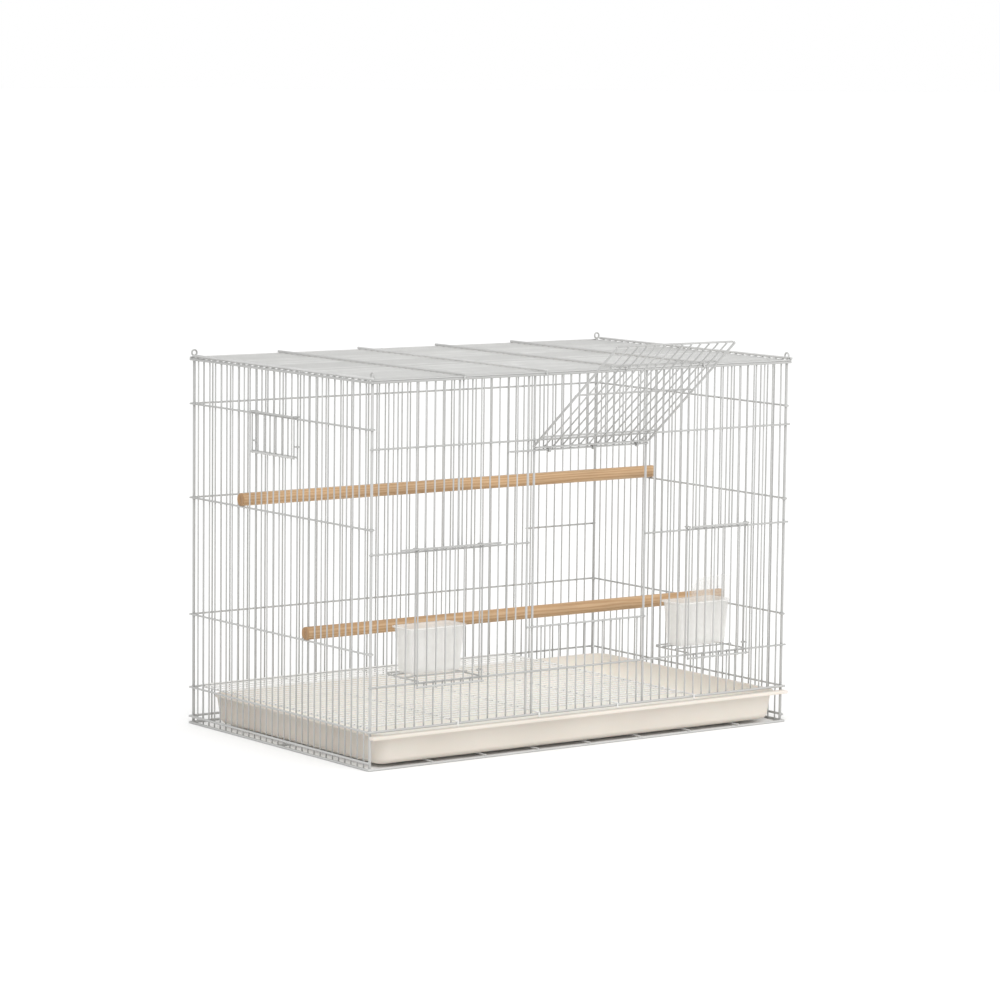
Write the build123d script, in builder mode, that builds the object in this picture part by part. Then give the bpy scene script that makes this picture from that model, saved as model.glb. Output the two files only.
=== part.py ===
from build123d import *
import os
from math import cos, radians, sin

os.makedirs("parts", exist_ok=True)

# Overall size of the wire box, in millimetres. X runs along the front from left to right,
# the front faces -Y, and z = 0 is the underside of the bottom rails.
cage_length = 606.0
cage_depth = 375.0
cage_height = 438.0

# Wire thicknesses, across the flats of the eight-sided sections that stand for round wire
wire = 1.8
rail = 2.2
frame_wire = 2.8
post = 3.4

# Crossing wires lie this close at their welds, loops keep the running gap round what they turn or
# slide on, and sliding doors keep the slide gap to the frame wires they pass
seat = 0.02
running_gap = 0.35
slide_gap = 0.4

# Spacing of the upright wires
side_pitch = 12.5
front_pitch = 12.8
front_first_wire = 10.6

# Heights of the rails on the side and back panels, and on the front panel
side_rail_heights = (44.0, 132.0, 272.0, 384.0)
front_base_height = 44.0
front_low_height = 94.6
front_mid_height = 244.0
front_high_height = 362.0
bottom_rail_step = 7.5

# Main door bay, measured from the left end of the front
bay_guide_at = 218.2
bay_left_at = 226.8
bay_right_at = 390.0
bay_sill_height = 146.0
hinge_height = 350.0
hinge_tail = 26.0

# Main door leaf, standing open
leaf_open_angle = 39.0
leaf_reach = 200.0
leaf_side_overlap = 3.5
leaf_cross_shares = (0.1, 0.52, 0.8)
hinge_loop_width = 5.0
hinge_loop_wall = 1.6

# Feeder openings: the uprights that are cut, counted from each bay's first wire
feeder_first_cut = 5
feeder_cut_count = 6
feeder_left_handle = (37.0, 176.0)
feeder_right_handle = (456.5, 541.1)
feeder_door_drop = 6.0
feeder_handle_rise = 1.0
feeder_loop_rise = 8.0

# Small sliding door on the left panel, measured from the front
side_door_front_at = 150.0
side_door_rear_at = 237.5
side_door_sill_height = 340.0
side_door_drop = 2.5
side_loop_rise = 12.0

# Short extra rail on the back panel, from its right end
short_rail_height = 203.0
short_rail_length = 112.0

# Roof bars, measured from the left end
roof_bar_first = 124.0
roof_bar_pitch = 116.0
roof_bar_count = 4
ring_outer = 9.0
ring_bar = 2.2
ring_sides = 8

# Base frame and floor grille
base_bar_step = 6
base_bar_first = 5
grille_bar_step = 9
grille_bar_count = 4
grille_end_at = 462.0
grille_wire = 1.8
hook_drop = 5.0

# Tray
tray_wall = 2.4
tray_height = 35.0
tray_depth = 346.0
tray_side_gap = 3.0
tray_corner = 22.0
tray_draft = 14.0
tray_flange = 6.0
tray_flange_thickness = 2.4
tray_lip_reach = 9.0
tray_lip_height = 6.0
tray_lip_overlap = 1.0

# Perches
perch_diameter = 15.0
perch_slot = 2.4
perch_slot_depth = 8.0
perch_proud = 4.0
upper_perch_wire = 20
lower_perch_wire = 9

# Cups, holders and the clear hood over the right cup
cup_width = 78.0
cup_reach = 36.0
cup_height = 54.0
cup_wall = 1.6
cup_corner = 6.0
cup_draft = 5.0
cup_rim = 2.4
cup_rim_thickness = 2.0
cup_setback = 18.0
holder_reach = 60.0
hood_width = 34.0
hood_height = 30.0
hood_wall = 1.4

x_left = -cage_length / 2
x_right = cage_length / 2
y_front = -cage_depth / 2
y_back = cage_depth / 2
wall_top = cage_height
side_count = int(cage_depth / side_pitch) - 1
bay_wires = int((cage_length - bay_right_at - front_first_wire / 2) / front_pitch)
left_wires = int((bay_guide_at - front_first_wire) / front_pitch)


def octagon(thickness):
    # an eight-sided wire section whose flats face the axes of its plane
    RegularPolygon(radius=thickness / 2, side_count=8, major_radius=False, rotation=22.5)


def stand(spots, thickness, low, high):
    # upright wires from low to high at (x, y) spots
    with BuildSketch(Plane.XY.offset(low)) as sections:
        with Locations(*spots):
            octagon(thickness)
    extrude(sections.sketch, amount=high - low)


def along_x(spots, thickness, start, end):
    # wires along X from start to end at (y, z) spots
    with BuildSketch(Plane.YZ.offset(start)) as sections:
        with Locations(*spots):
            octagon(thickness)
    extrude(sections.sketch, amount=end - start)


def along_y(spots, thickness, start, end):
    # wires along Y from start to end at (x, z) spots
    with BuildSketch(Plane(origin=(0, start, 0), x_dir=(-1, 0, 0), z_dir=(0, 1, 0))) as sections:
        with Locations(*[(-x, z) for x, z in spots]):
            octagon(thickness)
    extrude(sections.sketch, amount=end - start)


def front_line(number):
    # x of an upright in the left bay
    return x_left + front_first_wire + number * front_pitch


def bay_line(number):
    # x of an upright in the right bay, whose first wire stands a pitch right of the bay post
    return x_left + bay_right_at + (number + 1) * front_pitch


# The outer flats of posts and uprights share the wall planes, and the rails lie on them
front_upright_y = y_front + wire / 2
back_upright_y = y_back - wire / 2
left_upright_x = x_left + wire / 2
right_upright_x = x_right - wire / 2


def outside(thickness):
    # distance of a rail's centre outside a wall plane
    return thickness / 2 + seat


# Corner rods with a ring on top
post_top = wall_top + wire + 2 * seat
ring_centre_height = post_top + ring_outer / 2 + seat


def corner_rod(x, y, ring_plane):
    with BuildPart() as rod:
        stand([(x, y)], post, 0, post_top)
        with BuildSketch(ring_plane.offset(-ring_bar / 2)):
            RegularPolygon(ring_outer / 2, ring_sides, major_radius=False, rotation=22.5)
            RegularPolygon(
                ring_outer / 2 - ring_bar, ring_sides, major_radius=False, rotation=22.5,
                mode=Mode.SUBTRACT,
            )
        extrude(amount=ring_bar)
    return rod


rod_inset = post / 2
corners = {
    "corner_rod_front_left": (x_left + rod_inset, y_front + rod_inset, (0, 1, 0)),
    "corner_rod_front_right": (x_right - rod_inset, y_front + rod_inset, (0, 1, 0)),
    "corner_rod_back_left": (x_left + rod_inset, y_back - rod_inset, (1, 0, 0)),
    "corner_rod_back_right": (x_right - rod_inset, y_back - rod_inset, (1, 0, 0)),
}
rods = {}
for rod_name, (rod_x, rod_y, ring_x) in corners.items():
    ring_z = (1, 0, 0) if ring_x == (0, 1, 0) else (0, -1, 0)
    ring_at = Plane(origin=(rod_x, rod_y, ring_centre_height), x_dir=ring_x, z_dir=ring_z)
    rods[rod_name] = corner_rod(rod_x, rod_y, ring_at)
    rods[rod_name].part.label = rod_name

# Side panels. The left one has an opening behind its small sliding door.
side_lines = [y_front + (n + 1) * side_pitch for n in range(side_count)]
side_door_low = y_front + side_door_front_at
side_door_high = y_front + side_door_rear_at
side_cut = [y for y in side_lines if side_door_low < y < side_door_high]
side_whole = [y for y in side_lines if y not in side_cut]
bottom_rail_heights = (frame_wire / 2, frame_wire / 2 + bottom_rail_step)
top_rail_height = wall_top - frame_wire / 2
side_top_rail = side_rail_heights[-1]

with BuildPart() as left_panel:
    stand([(left_upright_x, y) for y in side_whole], wire, 0, wall_top)
    stand([(left_upright_x, y) for y in side_cut], wire, 0, side_door_sill_height + rail / 2)
    stand([(left_upright_x, y) for y in side_cut], wire, side_top_rail - rail / 2, wall_top)
    rail_x = x_left - outside(rail)
    along_y([(rail_x, z) for z in side_rail_heights], rail, y_front, y_back)
    along_y([(rail_x, side_door_sill_height)], rail, side_door_low - rail, side_door_high + rail)
    frame_x = x_left - outside(frame_wire)
    frame_heights = bottom_rail_heights + (top_rail_height,)
    along_y([(frame_x, z) for z in frame_heights], frame_wire, y_front, y_back)
left_panel.part.label = "left_panel"

with BuildPart() as right_panel:
    stand([(right_upright_x, y) for y in side_lines], wire, 0, wall_top)
    rail_x = x_right + outside(rail)
    along_y([(rail_x, z) for z in side_rail_heights], rail, y_front, y_back)
    frame_x = x_right + outside(frame_wire)
    along_y([(frame_x, z) for z in frame_heights], frame_wire, y_front, y_back)
right_panel.part.label = "right_panel"

# Back panel, with the short extra rail near its right end
back_count = int(cage_length / side_pitch) - 1
back_first = (cage_length - (back_count - 1) * side_pitch) / 2
back_lines = [x_left + back_first + n * side_pitch for n in range(back_count)]
rail_overhang = frame_wire + 2 * seat

with BuildPart() as back_panel:
    stand([(x, back_upright_y) for x in back_lines], wire, 0, wall_top)
    rail_y = y_back + outside(rail)
    back_ends = (x_left - rail_overhang, x_right + rail_overhang)
    along_x([(rail_y, z) for z in side_rail_heights], rail, *back_ends)
    along_x([(rail_y, short_rail_height)], rail, back_ends[1] - short_rail_length, back_ends[1])
    frame_y = y_back + outside(frame_wire)
    along_x([(frame_y, top_rail_height), (frame_y, bottom_rail_heights[1])], frame_wire, *back_ends)
back_panel.part.label = "back_panel"

# Front panel with the main door bay and two feeder openings
left_lines = [front_line(n) for n in range(left_wires)]
right_lines = [bay_line(n) for n in range(bay_wires)]
cut_numbers = range(feeder_first_cut, feeder_first_cut + feeder_cut_count)
cut_lines = [front_line(n) for n in cut_numbers] + [bay_line(n) for n in cut_numbers]
whole_lines = [x for x in left_lines + right_lines if x not in cut_lines]
bay_guide = x_left + bay_guide_at
bay_left = x_left + bay_left_at
bay_right = x_left + bay_right_at
bay_count = int((bay_right_at - bay_left_at) / front_pitch)
bay_lines = [bay_left + (n + 1) * front_pitch for n in range(bay_count)]
front_foot = front_base_height - frame_wire / 2
guide_y = y_front + frame_wire / 2
front_rail_y = y_front - outside(rail)
front_frame_y = y_front - outside(frame_wire)
front_ends = (x_left - rail_overhang, x_right + rail_overhang)

with BuildPart() as front_panel:
    stand([(x, front_upright_y) for x in whole_lines], wire, front_foot, wall_top)
    low_cut = front_low_height + rail / 2
    high_cut = front_mid_height - rail / 2
    stand([(x, front_upright_y) for x in cut_lines], wire, front_foot, low_cut)
    stand([(x, front_upright_y) for x in cut_lines], wire, high_cut, wall_top)
    bay_sill_top = bay_sill_height + rail / 2
    stand([(x, front_upright_y) for x in bay_lines], wire, front_foot, bay_sill_top)
    stand([(x, front_upright_y) for x in bay_lines], wire, hinge_height - rail / 2, wall_top)
    stand([(x, guide_y) for x in (bay_guide, bay_left, bay_right)], frame_wire, front_foot, wall_top)
    full_rails = [(front_rail_y, z) for z in (front_low_height, front_high_height)]
    along_x(full_rails, rail, *front_ends)
    along_x([(front_rail_y, front_mid_height)], rail, front_ends[0], bay_guide + frame_wire / 2)
    along_x([(front_rail_y, front_mid_height)], rail, bay_right - frame_wire / 2, front_ends[1])
    bay_ends = (bay_guide - frame_wire / 2, bay_right + frame_wire / 2)
    along_x([(front_rail_y, bay_sill_height)], rail, *bay_ends)
    along_x([(front_rail_y, hinge_height)], rail, bay_ends[0] - hinge_tail, bay_ends[1])
    frame_spots = [(front_frame_y, z) for z in (front_base_height, top_rail_height)]
    along_x(frame_spots, frame_wire, *front_ends)
front_panel.part.label = "front_panel"

# Roof: wires along X lie on the side top rails, and bars across them hook over front and back
roof_wire_height = wall_top + wire / 2 + seat
roof_bar_height = wall_top + wire + frame_wire / 2 + 2 * seat
hook_reach = frame_wire + wire + 2 * seat
roof_bar_ends = (y_front - hook_reach, y_back + hook_reach)
roof_bars = [x_left + roof_bar_first + n * roof_bar_pitch for n in range(roof_bar_count)]
roof_edges = [x_left - outside(frame_wire), x_right + outside(frame_wire)]
roof_edge_wires = [front_frame_y, y_back + outside(frame_wire)]

with BuildPart() as roof_panel:
    roof_lines = side_lines + roof_edge_wires
    along_x([(y, roof_wire_height) for y in roof_lines], wire, *front_ends)
    along_y([(x, roof_bar_height) for x in roof_bars], frame_wire, *roof_bar_ends)
    edge_ends = (roof_bar_ends[0], y_back - post - running_gap)
    along_y([(x, roof_bar_height) for x in roof_edges], frame_wire, *edge_ends)
    hook_rows = (roof_bar_ends[0] + wire / 2, roof_bar_ends[1] - wire / 2)
    hook_spots = [(x, y) for x in roof_bars for y in hook_rows]
    hook_top = roof_bar_height - frame_wire / 2 - seat
    stand(hook_spots, wire, hook_top - hook_drop, hook_top)
roof_panel.part.label = "roof_panel"

# Base frame under the tray
base_bar_height = frame_wire + wire / 2 + seat
tray_floor = frame_wire + wire + 2 * seat
with BuildPart() as base_frame:
    outer_bars = [(y, frame_wire / 2) for y in (front_frame_y, y_back + outside(frame_wire))]
    along_x(outer_bars, frame_wire, *front_ends)
    along_x([(0, frame_wire / 2)], frame_wire, x_left + wire + seat, x_right - wire - seat)
    bar_ends = (y_front - hook_reach, y_back + hook_reach)
    base_lines = [x + side_pitch / 2 for x in back_lines[base_bar_first:-1:base_bar_step]]
    base_bars = [(x, base_bar_height) for x in base_lines]
    along_y(base_bars, wire, *bar_ends)
base_frame.part.label = "base_frame"

# Floor grille: long wires on bars that hook over the bottom front rail
grille_bar_z = front_base_height + frame_wire / 2 + grille_wire / 2 + seat
grille_wire_z = grille_bar_z + grille_wire + seat
grille_right = x_left + grille_end_at
grille_left = x_left + post + running_gap
grille_bars = [front_line(grille_bar_step * (n + 1)) - front_pitch / 2 for n in range(grille_bar_count)]
with BuildPart() as floor_grille:
    along_x([(y, grille_wire_z) for y in side_lines], grille_wire, grille_left, grille_right)
    grille_ends = (y_front - hook_reach, y_back - post)
    along_y([(x, grille_bar_z) for x in grille_bars], grille_wire, *grille_ends)
    inner_ends = (side_lines[0] - wire, side_lines[-1] + wire)
    along_y([(x, grille_bar_z) for x in (grille_left + wire, grille_right - wire)], grille_wire, *inner_ends)
    grille_hooks = [(x, grille_ends[0] + grille_wire / 2) for x in grille_bars]
    hook_top = grille_bar_z - grille_wire / 2 - seat
    stand(grille_hooks, grille_wire, hook_top - hook_drop, hook_top)
floor_grille.part.label = "floor_grille"

# Tray: drafted pan with a flange on three sides and a wide lip at the front
tray_width = cage_length - 2 * (post + tray_side_gap) - 2 * tray_flange
tray_front = y_front - wire
tray_rim = tray_floor + tray_height
tray_middle = tray_front + tray_depth / 2
draft_x = tray_width - 2 * tray_draft
draft_y = tray_depth - 2 * tray_draft
lip_width = cage_length + 2 * tray_lip_overlap
with BuildPart() as tray:
    with BuildSketch(Plane.XY.offset(tray_floor)):
        with Locations((0, tray_middle)):
            RectangleRounded(draft_x, draft_y, tray_corner)
    with BuildSketch(Plane.XY.offset(tray_rim)):
        with Locations((0, tray_middle)):
            RectangleRounded(tray_width, tray_depth, tray_corner)
    loft(ruled=True)
    with BuildSketch(Plane.XY.offset(tray_floor + tray_wall)):
        with Locations((0, tray_middle)):
            RectangleRounded(draft_x - 2 * tray_wall, draft_y - 2 * tray_wall, tray_corner - tray_wall)
    with BuildSketch(Plane.XY.offset(tray_rim)):
        with Locations((0, tray_middle)):
            RectangleRounded(tray_width - 2 * tray_wall, tray_depth - 2 * tray_wall, tray_corner - tray_wall)
    loft(ruled=True, mode=Mode.SUBTRACT)
    with BuildSketch(Plane.XY.offset(tray_rim - tray_flange_thickness)):
        with Locations((0, tray_middle + tray_flange / 2)):
            RectangleRounded(tray_width + 2 * tray_flange, tray_depth + tray_flange, tray_corner)
        with Locations((0, tray_middle)):
            RectangleRounded(
                tray_width - 2 * tray_wall, tray_depth - 2 * tray_wall, tray_corner - tray_wall,
                mode=Mode.SUBTRACT,
            )
    extrude(amount=tray_flange_thickness)
    with BuildSketch(Plane.XY.offset(tray_rim - tray_lip_height)):
        with Locations((0, y_front - running_gap - tray_lip_reach / 2)):
            Rectangle(lip_width, tray_lip_reach)
    extrude(amount=tray_lip_height)
tray.part.label = "tray"

# Main door leaf on its own plane: wires run away from the hinge, cross bars lie on the outside
hinge_y = front_rail_y
tilt = radians(leaf_open_angle)
leaf_way = Vector(0, -cos(tilt), sin(tilt))
leaf_out = Vector(0, sin(tilt), cos(tilt))
hinge = Vector(0, hinge_y, hinge_height)
leaf_lift = rail / 2 + running_gap + frame_wire / 2
loop_inner = rail / 2 + running_gap
loop_outer = loop_inner + hinge_loop_wall
leaf_start = loop_outer - running_gap
root_along = loop_outer + rail / 2 + seat
root_lift = leaf_lift - wire / 2 - rail / 2 - seat
cross_lift = leaf_lift + wire / 2 + rail / 2 + seat
leaf_left = bay_left - leaf_side_overlap
leaf_right = bay_right + leaf_side_overlap - frame_wire / 2
leaf_origin = hinge + leaf_out * leaf_lift + leaf_way * leaf_start
loop_lines = (bay_lines[0], bay_lines[bay_count // 2 - 1], bay_lines[-2])
loop_spots = [x + front_pitch / 2 for x in loop_lines]

with BuildPart() as main_door:
    with BuildSketch(Plane(origin=leaf_origin, x_dir=(1, 0, 0), z_dir=leaf_way)):
        with Locations(*[(x, 0) for x in bay_lines]):
            octagon(wire)
    extrude(amount=leaf_reach - leaf_start)
    with BuildSketch(Plane(origin=leaf_origin, x_dir=(1, 0, 0), z_dir=leaf_way)):
        with Locations((leaf_left, 0), (leaf_right, 0)):
            octagon(frame_wire)
    extrude(amount=leaf_reach - leaf_start)
    cross_start = leaf_left + frame_wire / 2 + seat
    cross_origin = hinge + Vector(cross_start, 0, 0)
    with BuildSketch(Plane(origin=cross_origin, x_dir=leaf_way, z_dir=(-1, 0, 0))):
        cross_alongs = [leaf_reach * share for share in leaf_cross_shares]
        with Locations(*[(along, cross_lift) for along in cross_alongs + [leaf_reach - rail / 2]]):
            octagon(rail)
        with Locations((root_along, root_lift)):
            octagon(rail)
    extrude(amount=-(leaf_right - frame_wire / 2 - seat - cross_start))
main_door.part.label = "main_door"

# Three loops curl from the leaf's root bar round the hinge wire
with BuildPart() as hinge_loops:
    for x in loop_spots:
        loop_plane = Plane(
            origin=hinge + Vector(x - hinge_loop_width / 2, 0, 0), x_dir=leaf_way, z_dir=(1, 0, 0)
        )
        with BuildSketch(loop_plane):
            RegularPolygon(loop_outer, ring_sides, major_radius=False, rotation=22.5)
            RegularPolygon(loop_inner, ring_sides, major_radius=False, rotation=22.5, mode=Mode.SUBTRACT)
        extrude(amount=hinge_loop_width)
hinge_loops.part.label = "hinge_loops"

# Sliding doors run outside the frame wires, on loops that close round the uprights behind them
slide_step = frame_wire + slide_gap + wire / 2
feeder_slide_y = y_front - slide_step
side_slide_x = x_left - slide_step
loop_side = wire + running_gap
loop_start = slide_step - seat
loop_end = wire / 2 + running_gap + wire
leg_length = loop_start + loop_end


def guide_loop(upright, z, inward):
    # two legs and a back round the upright at z, with inward as the unit direction into the cage
    across = Vector(-inward.Y, inward.X, 0)
    leg_middle = upright + inward * ((loop_end - loop_start) / 2)
    back_middle = upright + inward * (loop_end - wire / 2)
    leg_size = (wire, leg_length) if inward.Y else (leg_length, wire)
    back_width = 2 * loop_side - wire - 2 * seat
    back_size = (back_width, wire) if inward.Y else (wire, back_width)
    with Locations(*[leg_middle + across * way + Vector(0, 0, z) for way in (loop_side, -loop_side)]):
        Box(*leg_size, wire)
    with Locations(back_middle + Vector(0, 0, z)):
        Box(*back_size, wire)


# Feeder doors slide up in front of the rails
feeder_top_height = front_mid_height + rail / 2 + running_gap + wire / 2 + feeder_handle_rise
feeder_low_height = front_low_height - feeder_door_drop


def feeder_door(lines, handle):
    with BuildPart() as door:
        uprights = [(x, feeder_slide_y) for x in lines]
        stand(uprights, wire, feeder_low_height, feeder_top_height + wire / 2)
        bar_y = feeder_slide_y - wire / 2 - outside(rail)
        along_x([(bar_y, feeder_top_height)], rail, *handle)
        along_x([(bar_y, feeder_low_height + rail)], rail, lines[0] - wire, lines[-1] + wire)
        for x in (lines[0], lines[-1]):
            for z in (feeder_top_height, front_low_height + feeder_loop_rise):
                guide_loop(Vector(x, front_upright_y, 0), z, Vector(0, 1, 0))
    return door


feeder_numbers = range(feeder_first_cut - 1, feeder_first_cut + feeder_cut_count + 1)
feeder_left_lines = [front_line(n) for n in feeder_numbers]
feeder_right_lines = [bay_line(n) for n in feeder_numbers]
feeder_door_left = feeder_door(feeder_left_lines, [x_left + x for x in feeder_left_handle])
feeder_door_left.part.label = "feeder_door_left"
feeder_door_right = feeder_door(feeder_right_lines, [x_left + x for x in feeder_right_handle])
feeder_door_right.part.label = "feeder_door_right"

# Small sliding door outside the left panel
side_door_top = side_top_rail + rail / 2 + running_gap + wire / 2
side_door_foot = side_door_sill_height - side_door_drop
with BuildPart() as side_door:
    door_edges = [side_door_low, side_door_high]
    uprights = [(side_slide_x, y) for y in side_cut + door_edges]
    stand(uprights, wire, side_door_foot, side_door_top + wire / 2)
    bar_x = side_slide_x - wire / 2 - outside(rail)
    bar_spots = [(bar_x, z) for z in (side_door_foot + rail, side_door_top)]
    along_y(bar_spots, rail, side_door_low - wire, side_door_high + wire)
    for y in door_edges:
        for z in (side_door_top, side_door_sill_height + side_loop_rise):
            guide_loop(Vector(left_upright_x, y, 0), z, Vector(1, 0, 0))
side_door.part.label = "side_door"


def perch(number, rail_height):
    # a dowel that straddles an upright at each end and rests on the rails
    y = side_lines[number]
    z = rail_height + rail / 2 + perch_diameter / 2 + seat
    ends = (x_left - perch_proud, x_right + perch_proud)
    with BuildPart() as dowel:
        with BuildSketch(Plane.YZ.offset(ends[0])):
            with Locations((y, z)):
                Circle(perch_diameter / 2)
        extrude(amount=ends[1] - ends[0])
        slot = (2 * perch_slot_depth, perch_slot, 2 * perch_diameter)
        with Locations((ends[0], y, z), (ends[1], y, z)):
            Box(*slot, mode=Mode.SUBTRACT)
    return dowel


perch_upper = perch(upper_perch_wire, side_rail_heights[2])
perch_upper.part.label = "perch_upper"
perch_lower = perch(lower_perch_wire, side_rail_heights[1])
perch_lower.part.label = "perch_lower"

# Feeder cups in wire holders that stand in from the low front rail
holder_z = front_low_height + rail / 2 + wire / 2 + seat
holder_cross_z = holder_z + wire + seat
cup_floor = holder_cross_z + wire / 2 + seat
cup_rim_height = cup_floor + cup_height
cup_front = y_front + cup_setback


def cup_holder(lines):
    left = lines[0] + front_pitch / 4
    right = lines[-1] - front_pitch / 4
    with BuildPart() as holder:
        along_y([(x, holder_z) for x in (left, right)], wire, y_front - rail, y_front + holder_reach)
        under_cup = (cup_front + 2 * wire, cup_front + cup_reach - cup_draft - 2 * wire)
        rows = under_cup + (y_front + holder_reach - wire,)
        along_x([(y, holder_cross_z) for y in rows], wire, left - wire, right + wire)
    return holder


def cup(lines):
    middle = 0.5 * (lines[0] + lines[-1])
    centre = (middle, cup_front + cup_reach / 2)
    with BuildPart() as body:
        for rise, inset, mode in ((0, 0, Mode.ADD), (cup_wall, cup_wall, Mode.SUBTRACT)):
            with BuildSketch(Plane.XY.offset(cup_floor + rise)):
                with Locations(centre):
                    RectangleRounded(
                        cup_width - 2 * cup_draft - 2 * inset, cup_reach - 2 * cup_draft - 2 * inset,
                        cup_corner - inset,
                    )
            with BuildSketch(Plane.XY.offset(cup_rim_height)):
                with Locations(centre):
                    RectangleRounded(cup_width - 2 * inset, cup_reach - 2 * inset, cup_corner - inset)
            loft(ruled=True, mode=mode)
        with BuildSketch(Plane.XY.offset(cup_rim_height - cup_rim_thickness)):
            with Locations(centre):
                RectangleRounded(cup_width + 2 * cup_rim, cup_reach + 2 * cup_rim, cup_corner + cup_rim)
                RectangleRounded(
                    cup_width - 2 * cup_wall, cup_reach - 2 * cup_wall, cup_corner - cup_wall,
                    mode=Mode.SUBTRACT,
                )
        extrude(amount=cup_rim_thickness)
    return body


cup_holder_left = cup_holder(feeder_left_lines)
cup_holder_left.part.label = "cup_holder_left"
cup_holder_right = cup_holder(feeder_right_lines)
cup_holder_right.part.label = "cup_holder_right"
cup_left = cup(feeder_left_lines)
cup_left.part.label = "cup_left"
cup_right = cup(feeder_right_lines)
cup_right.part.label = "cup_right"

# Clear hood on the right end of the right cup: a quarter-round sheet with two cheeks
hood_right = 0.5 * (feeder_right_lines[0] + feeder_right_lines[-1]) + cup_width / 2
hood_floor = cup_rim_height + seat
hood_back = cup_front + cup_reach
with BuildPart() as seed_guard:
    for start, thickness, radius in (
        (hood_right - hood_width, hood_wall, 0),
        (hood_right - hood_wall, hood_wall, 0),
        (hood_right - hood_width, hood_width, hood_height - hood_wall),
    ):
        with BuildSketch(Plane.YZ.offset(start)):
            with Locations((cup_front, hood_floor)):
                Ellipse(cup_reach, hood_height)
                if radius:
                    Ellipse(cup_reach - hood_wall, radius, mode=Mode.SUBTRACT)
            with Locations((cup_front + cup_reach / 2, hood_floor + hood_height / 2)):
                Rectangle(cup_reach, hood_height, mode=Mode.INTERSECT)
        extrude(amount=thickness)
seed_guard.part.label = "seed_guard"

pieces = [
    left_panel, right_panel, back_panel, front_panel, roof_panel, base_frame, floor_grille, tray,
    main_door, hinge_loops, feeder_door_left, feeder_door_right, side_door, perch_upper,
    perch_lower, cup_holder_left, cup_holder_right, cup_left, cup_right, seed_guard,
]
for piece in pieces + list(rods.values()):
    export_step(piece.part, f"parts/{piece.part.label}.step")
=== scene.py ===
import bmesh
import bpy
import numpy as np
from mathutils import Matrix, Vector


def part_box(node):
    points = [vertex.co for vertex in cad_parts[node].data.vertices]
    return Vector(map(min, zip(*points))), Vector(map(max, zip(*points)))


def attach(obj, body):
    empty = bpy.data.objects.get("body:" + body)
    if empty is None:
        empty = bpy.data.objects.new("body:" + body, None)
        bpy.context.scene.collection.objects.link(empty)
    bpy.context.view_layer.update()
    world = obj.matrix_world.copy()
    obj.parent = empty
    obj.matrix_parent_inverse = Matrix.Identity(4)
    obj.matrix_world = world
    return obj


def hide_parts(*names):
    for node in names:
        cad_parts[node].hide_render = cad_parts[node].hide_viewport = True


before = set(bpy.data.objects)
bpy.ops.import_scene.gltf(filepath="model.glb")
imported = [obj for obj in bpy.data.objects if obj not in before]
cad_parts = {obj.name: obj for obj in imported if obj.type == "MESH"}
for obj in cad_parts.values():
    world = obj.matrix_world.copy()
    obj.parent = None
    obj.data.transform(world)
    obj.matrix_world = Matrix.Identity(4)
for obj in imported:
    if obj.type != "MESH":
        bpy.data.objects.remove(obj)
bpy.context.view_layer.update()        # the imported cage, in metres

mm = 0.001
upward = np.array([0.0, 0.0, 1.0])
plainTone = 0.5                      # tone of surfaces whose material doesn't read it
wireCorners, boxCorners = 16, 8      # corners of an eight-sided wire's solid, and of a guide loop's box
print("cage frame loaded:", len(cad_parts), "nodes")


def placed(name, data):
    # a new object in the scene
    thing = bpy.data.objects.new(name, data)
    bpy.context.scene.collection.objects.link(thing)
    return thing


class Parts:
    # gathers several closed surfaces into the arrays of one piece
    def __init__(self):
        self.points, self.quads, self.triangles, self.tone, self.weld = [], [], [], [], []
        self.count = 0

    def add(self, points, quads, triangles=(), tone=plainTone, weld=0.0):
        points = np.asarray(points, float).reshape(-1, 3)
        self.points.append(points)
        self.quads.append(np.asarray(quads, np.int64).reshape(-1, 4) + self.count)
        self.triangles.append(np.asarray(triangles, np.int64).reshape(-1, 3) + self.count)
        self.tone.append(np.broadcast_to(np.asarray(tone, float), len(points)))
        self.weld.append(np.broadcast_to(np.asarray(weld, float), len(points)))
        self.count += len(points)

    def addCopies(self, blocks, quads, triangles, tone=plainTone, weld=0.0):
        # the same faces on each of several blocks of points
        offset = (np.arange(len(blocks)) * blocks.shape[1])[:, None, None]
        self.add(blocks, quads[None] + offset, triangles[None] + offset, tone, weld)

    def piece(self, name, material):
        # one smooth mesh at the origin, with tone and weld as point attributes; weld also marks the tray's
        # floor that is painted lighter as painted light
        points = np.concatenate(self.points)
        quads, triangles = np.concatenate(self.quads), np.concatenate(self.triangles)
        mesh = bpy.data.meshes.new(name)
        mesh.vertices.add(len(points))
        mesh.vertices.foreach_set("co", points.astype(np.float32).ravel())
        mesh.loops.add(quads.size + triangles.size)
        corners = np.concatenate([quads.ravel(), triangles.ravel()])
        mesh.loops.foreach_set("vertex_index", corners.astype(np.int32))
        mesh.polygons.add(len(quads) + len(triangles))
        starts = np.concatenate([np.arange(len(quads)) * 4, quads.size + np.arange(len(triangles)) * 3])
        mesh.polygons.foreach_set("loop_start", starts.astype(np.int32))
        mesh.update(calc_edges=True)
        mesh.validate()
        mesh.polygons.foreach_set("use_smooth", np.full(len(mesh.polygons), True))
        for label, values in (("tone", self.tone), ("weld", self.weld)):
            layer = mesh.attributes.new(label, "FLOAT", "POINT")
            layer.data.foreach_set("value", np.concatenate(values).astype(np.float32))
        mesh.materials.append(material)
        return placed(name, mesh)


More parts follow.
